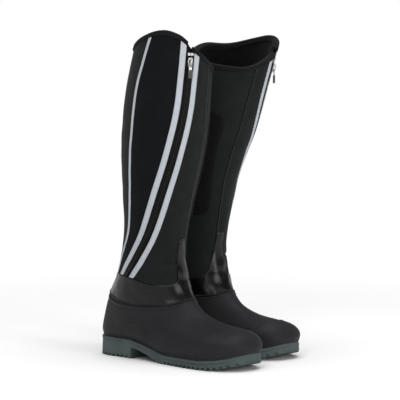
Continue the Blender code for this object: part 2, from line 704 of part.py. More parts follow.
def build_pull(boot, pivot, hang, away, side, axis):
    """A flat metal link that hangs in the slider's bridge, and a moulded tab on its lower end."""
    link_end, hole_end, tab_start, tab_end = 9.0, 5.0, 9.4, 20.5
    mesh = bmesh.new()
    outer = ((-0.6, 3.2), (5.6, 3.2), (link_end, 2.4), (link_end, -2.4), (5.6, -3.2), (-0.6, -3.2))
    inner = ((0.6, 1.7), (3.8, 1.7), (hole_end, 1.2), (hole_end, -1.2), (3.8, -1.7), (0.6, -1.7))
    sides = []
    for depth in (-0.55, 0.55):
        for outline in (outer, inner):
            sides.append([mesh.verts.new(pivot + hang * along + side * across + away * depth)
                          for along, across in outline])
    count = len(outer)
    for k in range(count):
        n = (k + 1) % count
        mesh.faces.new((sides[0][k], sides[0][n], sides[1][n], sides[1][k]))
        mesh.faces.new((sides[2][k], sides[2][n], sides[3][n], sides[3][k]))
        mesh.faces.new((sides[0][k], sides[0][n], sides[2][n], sides[2][k]))
        mesh.faces.new((sides[1][k], sides[1][n], sides[3][n], sides[3][k]))
    boot.finish("zip_pull", mesh, METAL, axis)
    rings = []
    for along, half, thick in ((tab_start, 2.6, 0.8), (tab_start + 1.6, 3.6, 1.2), (tab_end - 1.8, 3.4, 1.2),
                               (tab_end, 2.6, 0.8)):
        rings.append([pivot + hang * along + side * a + away * t
                      for a, t in ((half, thick), (-half, thick), (-half, -thick), (half, -thick))])
    boot.bar("pull_tab", rings, ZIP_PLASTIC, axis)


def build_boot(prefix, mirror, place, lean):
    boot = Boot(prefix, mirror, place, lean)
    build_foot(boot)
    build_lining(boot)
    build_shaft(boot)
    build_zip_hardware(boot)


def main():
    for old in list(bpy.data.objects):
        bpy.data.objects.remove(old, do_unlink=True)
    build_boot("right", False, (CENTRE_X - SPACING / 2, CENTRE_Y, 0.0), (0.0, 0.0))
    build_boot("left", True, (CENTRE_X + SPACING / 2, CENTRE_Y + LEFT_SETBACK, 0.0), LEFT_LEAN)


main()
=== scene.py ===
"""The looks of a pair of tall waterproof winter riding boots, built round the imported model.

Everything is worked out on the right boot in millimetres, in its own frame: toes toward -Y, outer side at -X,
floor at z = 0. Boot.place() then leans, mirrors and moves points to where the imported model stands, in metres.

One smooth surface, surface(), describes the outside of a boot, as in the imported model. A place on it is a
station, which counts how far down the boot it is, and an angle round the leg: 0 is the back, 90 the outer side,
180 the front and 270 the inner side.
"""

import json
import math

import bmesh
import bpy
import numpy as np
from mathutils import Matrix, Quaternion, Vector


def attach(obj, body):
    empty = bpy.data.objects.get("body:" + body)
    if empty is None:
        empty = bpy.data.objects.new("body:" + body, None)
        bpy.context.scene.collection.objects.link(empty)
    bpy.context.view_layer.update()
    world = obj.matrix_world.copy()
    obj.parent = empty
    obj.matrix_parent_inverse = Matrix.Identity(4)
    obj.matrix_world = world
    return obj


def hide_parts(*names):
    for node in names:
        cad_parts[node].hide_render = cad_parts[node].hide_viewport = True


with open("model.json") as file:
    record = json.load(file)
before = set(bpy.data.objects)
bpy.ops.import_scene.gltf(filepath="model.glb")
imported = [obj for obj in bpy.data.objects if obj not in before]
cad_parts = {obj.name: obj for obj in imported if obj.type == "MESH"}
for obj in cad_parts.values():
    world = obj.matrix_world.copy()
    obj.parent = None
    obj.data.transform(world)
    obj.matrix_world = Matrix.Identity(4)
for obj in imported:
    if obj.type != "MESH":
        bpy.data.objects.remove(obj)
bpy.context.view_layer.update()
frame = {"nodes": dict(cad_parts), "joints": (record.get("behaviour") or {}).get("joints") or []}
MM = 0.001

# Driving dimensions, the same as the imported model's
SOLE_LENGTH = 284.0
TOE_SPRING = 12.0
BREAST_Y = -78.0
FOREFOOT_Y = -150.0
BALL_Y = -225.0
SPACING = 125.0
LEFT_SETBACK = 32.0
CENTRE_X = -11.2
CENTRE_Y = 126.0
LEFT_LEAN = (24.0, 22.0)
LEAN_START = 250.0
LEAN_STRAIGHT = 330.0
LEAN_TOP = 450.0
SHAFT_MIDDLE_Y = -118.0

# Front line (y, z), back line (y, z), outer and inner half widths, squareness of the back half of the section
STATIONS = (
    (-189.5, 492, -75, 492, 51.5, 51.5, 2),
    (-186, 440, -62, 440, 55, 55, 2),
    (-182, 392, -51, 392, 58.5, 58.5, 2),
    (-178, 345, -45, 345, 59, 59, 2),
    (-170, 300, -42, 300, 56.5, 56.5, 2),
    (-157, 245, -42.5, 245, 49, 49, 2),
    (-146, 190, -43, 190, 41.5, 41.5, 2),
    (-142, 150, -36.5, 150, 41.5, 41.5, 2),
    (-147, 125, -29.5, 120, 43, 42, 2),
    (-154.5, 103, -15, 90, 43, 41.5, 2.1),
    (-165, 88, -5.5, 60, 41.5, 39.5, 2.3),
    (-177, 77, -3.5, 31.5, 39.5, 37, 2.7),
    (-188, 69.5, -40, 28.5, 39.5, 34, 4),
    (-198, 65, -76, 28.5, 41, 33.5, 4.5),
    (-208.5, 61.5, -113, 21, 43.5, 36, 5),
    (-221, 58.5, -151, 13.5, 47, 41.5, 5),
    (-236, 56.5, -188, 13.5, 48.5, 44.5, 5),
    (-250.5, 54.5, -222, 13.5, 46.5, 45, 5),
    (-263.5, 51.5, -249, 16, 41.5, 41.5, 4.5),
    (-273.5, 46, -268, 20, 31.5, 32.5, 4),
    (-279.5, 38, -277, 24, 20, 22, 3),
    (-282.3, 31, -281, 27, 6, 7, 2),
)

# Lines on the leg: the collar, the leather panel's top edge, the rubber foot's top edge (angle, height)
COLLAR = ((0, 452), (40, 459), (75, 473), (110, 482), (135, 476), (150, 466), (162, 456), (175, 449),
          (193, 438), (215, 428), (250, 425), (285, 429), (325, 441), (360, 452))
ANKLE_TOP = ((0, 124), (36, 124), (60, 123.5), (90, 120.5), (105, 117), (120, 113), (150, 112), (160, 114.5),
             (166, 118.5), (170, 124), (172.3, 132), (173, 150), (173.8, 178), (193, 180), (197, 152),
             (204, 136), (213, 121), (225, 113), (245, 109), (270, 108), (300, 112), (330, 119), (360, 124))
GALOSH_TOP = ((0, 101), (45, 93), (90, 85), (135, 86), (180, 93), (225, 86), (270, 85), (315, 93), (360, 101))

# The zip's middle line and the rear piping's line (height, angle)
ZIP_LINE = ((100, 64), (112, 68), (130, 80), (150, 94), (174, 107), (205, 119.5), (237, 129.5), (286, 141),
            (340, 149), (375, 153), (400, 154), (500, 154))
PIPING_LINE = ((100, 34), (121, 38), (150, 51), (176, 63), (200, 69), (245, 75), (300, 78), (400, 80),
               (440, 84), (500, 94))
GIRTH_PER_DEGREE = 0.9  # roughly
FRONT_SEAM = 193.0
BACK_SEAM = 325.0

# Distances from the zip's middle line
TAPE = (2.4, 8.6)
PANEL_EDGE = 8.6
STRIPE = (6.6, 15.0)
ZIP_END = 446.0

# The outsole's top face (y, height)
SOLE_PROFILE = ((-284, 25), (-277, 22.5), (-268, 19.5), (-249, 15.5), (-222, 13), (-150, 13), (-76, 28), (0, 28))


def curve(points, at):
    """A smooth curve through points (x, value ...), read at an array of places (cubic Hermite, local)."""
    table = np.array(points, float)
    xs, values = table[:, 0], table[:, 1:]
    at = np.asarray(at, float)
    i = np.clip(np.searchsorted(xs, at) - 1, 0, len(xs) - 2)
    before = np.maximum(np.arange(len(xs)) - 1, 0)
    after = np.minimum(np.arange(len(xs)) + 1, len(xs) - 1)
    slopes = (values[after] - values[before]) / (xs[after] - xs[before])[:, None]
    step = (xs[i + 1] - xs[i])[..., None]
    t = np.clip((at - xs[i])[..., None] / step, 0, 1)
    found = (values[i] * (2 * t**3 - 3 * t**2 + 1) + slopes[i] * step * (t**3 - 2 * t**2 + t)
             + values[i + 1] * (3 * t**2 - 2 * t**3) + slopes[i + 1] * step * (t**3 - t**2))
    return found if found.shape[-1] > 1 else found[..., 0]


def round_line(points, at):
    """A smooth closed line (angle, height) round the leg, read at any angles."""
    lapped = [(a - 360.0, h) for a, h in points[-4:-1]] + list(points) + [(a + 360.0, h) for a, h in points[1:4]]
    return curve(lapped, np.asarray(at, float) % 360.0)


def straight_line(points, at):
    return np.interp(np.asarray(at, float) % 360.0, *np.transpose(points))


def station_table():
    """STATIONS with a running length in front, half of what the front and back lines have covered."""
    table = []
    run = 0.0
    for k, row in enumerate(STATIONS):
        if k:
            last = STATIONS[k - 1]
            run += 0.5 * (math.dist(row[0:2], last[0:2]) + math.dist(row[2:4], last[2:4]))
        table.append((run, *row))
    return table


TABLE = station_table()
INSTEP_RIDGE = ((0.0, 0.0), (TABLE[8][0], 0.0), (TABLE[11][0], 4.0), (TABLE[14][0], 7.0), (TABLE[17][0], 6.0),
                (TABLE[-1][0], 0.0))


def same_shape(*values):
    return np.broadcast_arrays(*(np.asarray(value, float) for value in values))


def surface(station, angle):
    """Points of the outer surface, in millimetres."""
    station, angle = same_shape(station, angle)
    front_y, front_z, back_y, back_z, outer, inner, square = np.moveaxis(curve(TABLE, station), -1, 0)
    c, s = np.cos(np.radians(angle)), np.sin(np.radians(angle))
    power = np.where(c > 0, 2.0 / np.maximum(2.0, square), 1.0)
    along = 0.5 + 0.5 * np.sign(c) * np.abs(c) ** power
    across = np.sign(s) * np.abs(s) ** power * np.where(s > 0, outer, inner)
    across = across - curve(INSTEP_RIDGE, station) * (1 - along) ** 2
    return np.stack((-across, front_y + (back_y - front_y) * along, front_z + (back_z - front_z) * along), -1)


def normal_at(station, angle):
    up = surface(station - 0.5, angle) - surface(station + 0.5, angle)
    turn = surface(station, angle + 0.5) - surface(station, angle - 0.5)
    normal = np.cross(turn, up)
    return normal / np.maximum(np.linalg.norm(normal, axis=-1, keepdims=True), 1e-9)


def skin(station, angle, offset=0.0):
    """Points at an offset from the outer surface."""
    station, angle = same_shape(station, angle)
    return surface(station, angle) + normal_at(station, angle) * np.asarray(offset, float)[..., None]


def at_height(height, angle):
    """The station where the outer surface passes a height, found by halving."""
    height, angle = same_shape(height, angle)
    low, high = np.zeros(height.shape), np.full(height.shape, TABLE[11][0])
    for _ in range(24):
        middle = 0.5 * (low + high)
        above = surface(middle, angle)[..., 2] > height
        low, high = np.where(above, middle, low), np.where(above, high, middle)
    return 0.5 * (low + high)


def reach(height, angle):
    """Millimetres of girth for each degree."""
    station = at_height(height, angle)
    return np.linalg.norm(surface(station, angle + 0.5) - surface(station, angle - 0.5), axis=-1)


def beside(line_at, distance):
    """A line moved sideways, square to its run, by a distance in millimetres, toward the front if positive."""

    def angle_at(height):
        middle = line_at(height)
        per_degree = reach(height, middle)
        slant = per_degree * (line_at(height + 2.0) - line_at(height - 2.0)) / 4.0
        return middle + distance * np.hypot(1.0, slant) / per_degree

    return angle_at


def zip_line(height):
    return curve(ZIP_LINE, height)


def piping_line(height):
    return curve(PIPING_LINE, height)


def constant(value):
    return lambda at: np.full(np.shape(at), float(value))


def sole_top(y):
    return np.interp(y, *np.transpose(SOLE_PROFILE))


def collar_at(angle):
    return round_line(COLLAR, angle)


def shaft_top(angle):
    return collar_at(angle) - 3.0


def galosh_top(angle):
    return round_line(GALOSH_TOP, angle)


def ripples(angle, height, size, seed):
    """Smooth, irregular waves of about unit height, `size` millimetres long, the same each run."""
    girth = angle * GIRTH_PER_DEGREE
    made = np.zeros(np.broadcast(girth, height).shape)
    draw = np.random.default_rng(seed)
    for _ in range(7):
        turn, phase, stretch = draw.uniform(0, math.tau), draw.uniform(0, math.tau), draw.uniform(0.6, 1.6)
        made += np.sin((girth * math.cos(turn) + height * math.sin(turn)) * math.tau / (size * stretch) + phase)
    return made / 3.2


def bump(distance, width):
    """A soft ridge: 1 on the line, fading over `width` millimetres."""
    return np.exp(-((distance / width) ** 2))


def lines_between(a, b):
    """Running distance along rows of points, from their first column."""
    steps = np.linalg.norm(np.diff(a, axis=b), axis=-1)
    start = np.zeros_like(np.take(steps, [0], axis=b))
    return np.concatenate((start, np.cumsum(steps, axis=b)), axis=b)


def borders(points, wraps=False):
    """For a grid of points: distances across and along, and to the nearest border, in millimetres."""
    across, along = lines_between(points, 1), lines_between(points, 0)
    edge = np.minimum(along, along[-1:] - along)
    if not wraps:
        edge = np.minimum(edge, np.minimum(across, across[:, -1:] - across))
    return across, along, edge


def put_in_scene(name, data):
    made = bpy.data.objects.new(name, data)
    bpy.context.scene.collection.objects.link(made)
    return made


def lift_off_sole(grid, lift):
    grid[..., 2] = np.maximum(grid[..., 2], sole_top(grid[..., 1]) + lift)


class Boot:
    """One boot. Pieces are made on the right boot's shape and then put where this boot stands."""

    def __init__(self, side):
        self.side = side
        self.mirror = side == "left"
        setback, away = (LEFT_SETBACK, 0.5 * SPACING) if self.mirror else (0.0, -0.5 * SPACING)
        self.origin = np.array((CENTRE_X + away, CENTRE_Y + setback, 0.0))
        self.lean = LEFT_LEAN if self.mirror else (0.0, 0.0)

    def place(self, points):
        """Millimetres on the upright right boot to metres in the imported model's frame."""
        bend = LEAN_STRAIGHT - LEAN_START
        into_bend = np.clip(points[..., 2] - LEAN_START, 0.0, bend)
        above = np.maximum(points[..., 2] - LEAN_STRAIGHT, 0.0)
        run = bend / 2 + LEAN_TOP - LEAN_STRAIGHT
        share = (into_bend**2 / (2 * bend) + above) / run
        tip = self.lean[0] * points[..., 0] + self.lean[1] * (points[..., 1] - SHAFT_MIDDLE_Y)
        moved = np.array(points, float)
        moved[..., 0] -= self.lean[0] * share
        moved[..., 1] -= self.lean[1] * share
        moved[..., 2] += tip * into_bend / bend / run
        if self.mirror:
            moved[..., 0] *= -1.0
        return (moved + self.origin) * MM

    def add(self, name, points, faces, look, nodes=(), body="boot", weave=None, sharp=40.0, placed=False):
        """Makes a piece from points in millimetres (or placed ones in metres) and lets it ride on a body."""
        points = np.asarray(points, float).reshape(-1, 3)
        mesh = bpy.data.meshes.new(self.side + "_" + name)
        mesh.from_pydata((points if placed else self.place(points)).tolist(), [], faces)
        if weave is not None:
            layer = mesh.attributes.new("weave", "FLOAT_VECTOR", "POINT")
            flat = np.zeros((len(points), 3), np.float32)
            flat[:, :2] = np.asarray(weave).reshape(-1, 2)
            layer.data.foreach_set("vector", flat.ravel())
        tidy = bmesh.new()
        tidy.from_mesh(mesh)
        bmesh.ops.remove_doubles(tidy, verts=tidy.verts, dist=0.000002)
        bmesh.ops.recalc_face_normals(tidy, faces=tidy.faces)
        tidy.to_mesh(mesh)
        tidy.free()
        mesh.shade_smooth()
        mesh.set_sharp_from_angle(angle=math.radians(sharp))
        mesh.materials.append(look.material)
        piece = put_in_scene(mesh.name, mesh)
        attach(piece, self.side + "_" + body)
        if nodes:
            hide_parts(*[self.side + "_" + node for node in nodes])
        return piece

    def slab(self, name, station, angle, outer, inner, look, nodes=(), wraps=False, floor=None, turned=1.2,
             settle=None, capped=False):
        """A closed slab over a grid, whose outer face turns down softly at its borders.

        floor keeps both faces above the sole, and settle may move the outer face's points.
        """
        base = surface(station, angle)
        across, along, edge = borders(base, wraps)
        if capped:
            edge = along
        top = skin(station, angle, outer - 0.6 * turned * bump(edge, turned))
        low = skin(station, angle, np.broadcast_to(inner, station.shape))
        if floor is not None:
            lift_off_sole(top, floor[0])
            lift_off_sole(low, floor[1])
        if settle is not None:
            top = settle(top)
        weave = np.stack((across, along), -1)
        return self.add(name, np.stack((top, low)), slab_faces(*station.shape, wraps, capped), look, nodes,
                        weave=np.stack((weave, weave)))


def slab_faces(rows, columns, wraps, capped=False):
    """Faces of two grids of the same size, one over the other, joined round their borders.

    In a capped one each grid's last row is closed by a face of its own instead.
    """
    size = rows * columns
    last = columns if wraps else columns - 1
    faces = []
    for r in range(rows - 1):
        for c in range(last):
            n = (c + 1) % columns
            quad = (r * columns + c, r * columns + n, (r + 1) * columns + n, (r + 1) * columns + c)
            faces += [quad, tuple(size + k for k in reversed(quad))]
    for r in (0,) if capped else (0, rows - 1):
        for c in range(last):
            a, b = r * columns + c, r * columns + (c + 1) % columns
            faces.append((a, b, size + b, size + a))
    if capped:
        faces += [tuple(start + size - columns + k for k in range(columns)) for start in (0, size)]
    if not wraps:
        for c in (0, columns - 1):
            for r in range(rows - 1):
                a, b = r * columns + c, (r + 1) * columns + c
                faces.append((a, b, size + b, size + a))
    return faces


def ring_faces(rings, count, closed=False):
    """Faces between rings of `count` points, with flat ends."""
    faces = []
    for r in range(rings if closed else rings - 1):
        s = (r + 1) % rings
        for k in range(count):
            n = (k + 1) % count
            faces.append((r * count + k, r * count + n, s * count + n, s * count + k))
    if not closed:
        faces += [tuple(range(count)), tuple((rings - 1) * count + k for k in range(count))]
    return faces


def panel_grid(left, right, across, up, bottom, top):
    """Station, angle and height of a grid between two lines on the leg, from bottom to top."""
    u = np.linspace(0, 1, across)[None, :]
    v = np.linspace(0, 1, up)[:, None]
    height = np.full((up, across), 250.0)
    for _ in range(6):
        a, b = left(height), right(height)
        angle = a + (b - a) * u
        height = bottom(angle) + (top(angle) - bottom(angle)) * v
    return at_height(height, angle), angle, height


def at_run(distance, run, values):
    """Rows of three values, read at a running distance."""
    return np.array([np.interp(distance, run, values[:, k]) for k in range(3)])


def stitches(boot, name, station, angle, offset, look, pitch=3.2, length=2.3, radius=0.32):
    """A row of threads along a line on the skin, each a small spindle that dips in at its ends."""
    fine = skin(station, angle, offset)
    normals = normal_at(station, angle)
    run = lines_between(fine[None], 1)[0]
    points, faces = [], []
    sides = 6
    shares = np.linspace(-0.5, 0.5, 5)
    for middle in np.arange(pitch, run[-1] - pitch, pitch):
        places = np.array([at_run(middle + share * length, run, fine) for share in shares])
        out = at_run(middle, run, normals)
        ahead = places[-1] - places[0]
        ahead /= np.linalg.norm(ahead)
        side = np.cross(out, ahead)
        start = len(points)
        for place, share in zip(places, shares):
            thick = radius * math.sqrt(max(0.05, 1 - (2 * share) ** 2))
            for k in range(sides):
                turn = math.tau * k / sides
                points.append(place + out * (thick * math.sin(turn) - radius * abs(2 * share) ** 3)
                              + side * thick * math.cos(turn))
        faces += [tuple(start + k for k in face) for face in ring_faces(len(shares), sides)]
    return boot.add(name, points, faces, look)


def make_node(tree, kind, **inputs):
    """A shader node whose named inputs are linked or set."""
    made = tree.nodes.new(kind)
    for name, value in inputs.items():
        socket = made.inputs[name.replace("_", " ")]
        if isinstance(value, bpy.types.NodeSocket):
            tree.links.new(value, socket)
        else:
            socket.default_value = value
    return made


class Look:
    """A procedural material and the record's slot that it belongs to."""

    def __init__(self, name, slot, colour, roughness, metallic=0.0, specular=0.5, sheen=0.0):
        self.slot = slot
        self.material = bpy.data.materials.new(name)
        self.material.use_nodes = True
        self.nodes = self.material.node_tree.nodes
        self.links = self.material.node_tree.links
        self.shader = self.nodes["Principled BSDF"]
        for socket, value in (("Base Color", (*colour, 1.0)), ("Roughness", roughness), ("Metallic", metallic),
                              ("Specular IOR Level", specular), ("Sheen Weight", sheen)):
            self.shader.inputs[socket].default_value = value
        self.colour = colour
        self.normal = None

    def node(self, kind, **inputs):
        return make_node(self.material.node_tree, kind, **inputs)

    def position(self):
        return self.nodes.new("ShaderNodeTexCoord").outputs["Object"]

    def noise(self, scale, detail, rough=0.5):
        return self.node("ShaderNodeTexNoise", Vector=self.position(), Scale=scale, Detail=detail,
                         Roughness=rough).outputs["Fac"]

    def ramp(self, value, low, high, to_low=0.0, to_high=1.0):
        return self.node("ShaderNodeMapRange", Value=value, From_Min=low, From_Max=high, To_Min=to_low,
                         To_Max=to_high).outputs["Result"]

    def maths(self, operation, a, b=0.0):
        made = self.nodes.new("ShaderNodeMath")
        made.operation = operation
        for socket, value in zip(made.inputs, (a, b)):
            if isinstance(value, bpy.types.NodeSocket):
                self.links.new(value, socket)
            else:
                socket.default_value = value
        return made.outputs[0]

    def tint(self, share, darker, lighter):
        """Colour that goes between two factors of the base colour."""
        mix = self.nodes.new("ShaderNodeMix")
        mix.data_type = "RGBA"
        self.links.new(share, mix.inputs["Factor"])
        for socket, factor in ((mix.inputs[6], darker), (mix.inputs[7], lighter)):
            factor = factor if isinstance(factor, tuple) else (factor,) * 3
            socket.default_value = (*(c * f for c, f in zip(self.colour, factor)), 1.0)
        self.links.new(mix.outputs[2], self.shader.inputs["Base Color"])

    def wear(self, share, low, high):
        """Roughness that goes between two values."""
        self.links.new(self.ramp(share, 0.3, 0.7, low, high), self.shader.inputs["Roughness"])

    def relief(self, height, distance, strength=1.0):
        """Adds a bump, `distance` metres deep, over the ones before it."""
        bumped = self.node("ShaderNodeBump", Height=height, Distance=distance, Strength=strength)
        if self.normal is not None:
            self.links.new(self.normal, bumped.inputs["Normal"])
        self.normal = bumped.outputs["Normal"]
        self.links.new(self.normal, self.shader.inputs["Normal"])

    def threads(self, pitch_across, pitch_along):
        """A woven pattern: crossing waves on the piece's own running lengths in millimetres."""
        place = self.nodes.new("ShaderNodeAttribute")
        place.attribute_name = "weave"
        split = self.node("ShaderNodeSeparateXYZ", Vector=place.outputs["Vector"])
        waves = []
        for axis, pitch in (("X", pitch_across), ("Y", pitch_along)):
            turns = self.maths("MULTIPLY", split.outputs[axis], math.tau / pitch)
            waves.append(self.maths("SINE", turns))
        return self.maths("MULTIPLY", *waves)


def make_look(name, slot, colour, roughness, weave=None, cells=None, grain=(), tint=None, wear=None, **shader):
    """A look with its reliefs, uneven colour and uneven gloss.

    weave is (pitch across, pitch along, depth, strength), cells is (feature, scale, low, high, depth, strength),
    each grain is (scale, detail, depth, strength, roughness or nothing), and tint and wear are (scale, detail,
    low, high). Pitches are in millimetres and depths in metres.
    """
    look = Look(name, slot, colour, roughness, **shader)
    if weave:
        look.relief(look.threads(*weave[:2]), *weave[2:])
    if cells:
        feature, scale, low, high, depth, strength = cells
        pattern = look.node("ShaderNodeTexVoronoi", Vector=look.position(), Scale=scale)
        pattern.feature = feature
        look.relief(look.ramp(pattern.outputs["Distance"], low, high), depth, strength)
    for scale, detail, depth, strength, *rough in grain:
        look.relief(look.noise(scale, detail, *rough), depth, strength)
    if tint:
        look.tint(look.noise(*tint[:2]), *tint[2:])
    if wear:
        look.wear(look.noise(*wear[:2]), *wear[2:])
    return look


def woven(name, slot, colour, pitch, roughness):
    return make_look(name, slot, colour, roughness, weave=(pitch, pitch, 0.0001, 0.7), tint=(80, 4, 0.8, 1.3),
                     specular=0.12, sheen=0.02)


def plastic(slot, colour, roughness):
    return make_look(slot, slot, colour, roughness, grain=((1500, 2, 0.00003, 0.4),),
                     tint=(120, 4, 0.85, 1.2), wear=(300, 3, roughness - 0.06, roughness + 0.08), specular=0.3)


def metal(name, colour):
    return make_look(name, "nickel", colour, 0.28, grain=((2200, 2, 0.00001, 0.4),),
                     tint=(260, 4, 0.8, 1.08), wear=(420, 4, 0.17, 0.36), metallic=1)


SOFTSHELL = make_look("softshell", "softshell", (0.0078, 0.0093, 0.0088), 0.78, weave=(0.9, 0.9, 0.00008, 0.6),
                      grain=((900, 2, 0.00006, 0.5),), tint=(26, 5, 0.82, 1.25),
                      wear=(60, 3, 0.7, 0.86), specular=0.13, sheen=0.02)
RIBBED = make_look("ribbed_softshell", "softshell", (0.0086, 0.0097, 0.0092), 0.8,
                   weave=(1.4, 1, 0.0001, 0.7), tint=(300, 3, 0.75, 1.35), specular=0.13, sheen=0.03)
SMOOTH = make_look("smooth_textile", "smooth_textile", (0.0040, 0.0045, 0.0058), 0.72,
                   weave=(0.55, 0.55, 0.00004, 0.5), tint=(18, 4, 0.9, 1.15), wear=(40, 3, 0.66, 0.78),
                   specular=0.08, sheen=0.01)
LEATHER = make_look("synthetic_leather", "synthetic_leather", (0.0026, 0.0026, 0.0032), 0.24,
                    cells=("DISTANCE_TO_EDGE", 900, 0, 0.12, 0.00005, 0.5),
                    grain=((240, 4, 0.0001, 0.35),), tint=(45, 5, 0.85, 1.3),
                    wear=(90, 4, 0.18, 0.28), specular=0.26)
RUBBER = make_look("moulded_rubber", "moulded_rubber", (0.0135, 0.0138, 0.0153), 0.6,
                   grain=((1600, 3, 0.00005, 0.55), (130, 4, 0.00012, 0.2)),
                   tint=(14, 5, 0.88, 1.15), wear=(35, 4, 0.53, 0.66), specular=0.18)
GRIP = make_look("grip_rubber", "grip_rubber", (0.0045, 0.0045, 0.0048), 0.8,
                 cells=("F1", 620, 0.1, 0.6, 0.00018, 0.7), tint=(70, 4, 0.8, 1.3), specular=0.1)
SOLE = make_look("sole_rubber", "sole_rubber", (0.060, 0.081, 0.078), 0.68, grain=((1100, 3, 0.00006, 0.5),),
                 wear=(55, 4, 0.6, 0.76), specular=0.25)
GRIME = SOLE.maths("MULTIPLY", SOLE.noise(38, 6), SOLE.noise(9, 2))
SOLE.tint(SOLE.ramp(GRIME, 0.12, 0.4), (0.72, 0.74, 0.74), 1.14)
STRIPE_TAPE = make_look("reflective_tape", "reflective_tape", (0.50, 0.53, 0.57), 0.42,
                        weave=(1, 1.25, 0.00012, 0.8), wear=(200, 3, 0.36, 0.5), metallic=0.15, specular=0.5)
STRIPE_TAPE.tint(STRIPE_TAPE.ramp(STRIPE_TAPE.threads(1, 1.25), -0.7, 0.7), (0.66, 0.67, 0.68), 1.12)
ZIP_CLOTH = woven("zip_cloth", "zip_cloth", (0.0085, 0.0075, 0.0073), 0.8, 0.85)
BINDING = woven("collar_cloth", "collar_cloth", (0.0055, 0.0055, 0.0060), 0.9, 0.8)
THREAD = woven("thread", "softshell", (0.013, 0.014, 0.014), 0.5, 0.6)
FELT = make_look("felt", "felt", (0.0050, 0.0050, 0.0056), 0.95, grain=((700, 6, 0.0004, 0.7, 0.7),),
                 tint=(90, 5, 0.7, 1.4), specular=0.1, sheen=0.06)
TEETH_PLASTIC = plastic("zip_plastic", (0.012, 0.0105, 0.0102), 0.42)
TAB_PLASTIC = plastic("tab_plastic", (0.055, 0.055, 0.058), 0.45)
NICKEL = metal("nickel", (0.36, 0.355, 0.35))
BLACK_METAL = metal("blackened_metal", (0.020, 0.020, 0.021))
BOARD = make_look("board", "board", (0.30, 0.22, 0.14), 0.9, grain=((500, 6, 0.0001, 0.5),),
                  tint=(160, 6, 0.75, 1.2), specular=0.2)

# The toe cap's edge on the rubber foot (angle, y)
CAP_LINE = ((0, -226), (60, -224), (90, -227), (105, -230), (130, -238), (151, -249), (180, -254), (214, -255),
            (250, -248), (285, -235), (320, -230), (360, -226))
TUCK = 2.6  # how far a band on the shaft goes under the ankle leather


def shaft_folds(angle, height):
    """Soft unevenness of the cloth, and the shallow creases over the instep and behind the ankle."""
    soft = 0.45 * ripples(angle, height, 75.0, 3) + 0.18 * ripples(angle, height, 28.0, 5)
    front = bump(angle - 168.0, 38.0)
    crease = -2.4 * bump(height - 144.0 - 0.06 * (angle - 170.0), 2.0) * front
    crease += 0.8 * bump(height - 152.0 - 0.06 * (angle - 170.0), 6.0) * front
    crease -= 0.5 * bump(height - 124.0 - 0.05 * (angle - 150.0), 4.0) * front
    back = bump((angle - 15.0 + 180.0) % 360.0 - 180.0, 45.0)
    crease -= 0.6 * bump(height - 158.0, 5.0) * back
    return np.clip(soft * 0.7 + crease, -2.4, 1.0)


def cloth_panel(boot, name, left, right, columns, look, nodes):
    """A shaft panel between two lines, with turned edges and a slight roll beside its seams."""
    station, angle, height = panel_grid(left, right, columns, 150, constant(100.0), shaft_top)
    outer = -0.1 + shaft_folds(angle, height)
    across, _, _ = borders(surface(station, angle))
    from_side = np.minimum(across, across[:, -1:] - across)
    outer = outer + 0.3 * bump(from_side - 2.4, 1.4)
    return boot.slab(name, station, angle, outer, -3.2, look, nodes, turned=1.0)


def build_shaft(boot):
    seam = 1.2
    cloth_panel(boot, "rear_panel", constant(BACK_SEAM - 360.0), beside(piping_line, -seam), 39, RIBBED,
                ("rear_strip",))
    cloth_panel(boot, "lateral_panel", beside(piping_line, seam), beside(zip_line, -PANEL_EDGE), 28, SMOOTH,
                ("lateral_rear_panel",))
    cloth_panel(boot, "front_cloth", beside(zip_line, PANEL_EDGE), constant(FRONT_SEAM), 24, SOFTSHELL,
                ("front_panel",))
    cloth_panel(boot, "medial_cloth", constant(FRONT_SEAM), constant(BACK_SEAM), 47, SOFTSHELL,
                ("medial_panel",))


def strip(boot, name, line_at, near, far, top, outer, inner, look, nodes, crown, across=7):
    """A narrow band beside a line on the leg, slightly crowned."""
    a, b = sorted((near, far))
    station, angle, height = panel_grid(beside(line_at, a), beside(line_at, b), across, 190, leather_edge, top)
    u = np.linspace(-1.0, 1.0, across)[None, :]
    folds = 0.6 * shaft_folds(angle, height)
    tucked = np.clip(1 - (height - leather_edge(angle)) / (TUCK + 1.0), 0, 1)
    lift = outer + crown * (1 - u**2) + folds - (outer + 0.3) * tucked
    return boot.slab(name, station, angle, lift, np.minimum(inner + folds, lift - 0.4), look, nodes, turned=0.7)


def leather_edge(angle):
    """Height at which a band on the shaft ends, tucked under the ankle panel."""
    return straight_line(ANKLE_TOP, angle % 360.0) - TUCK


def trim_top(angle):
    return shaft_top(angle) - 2.5


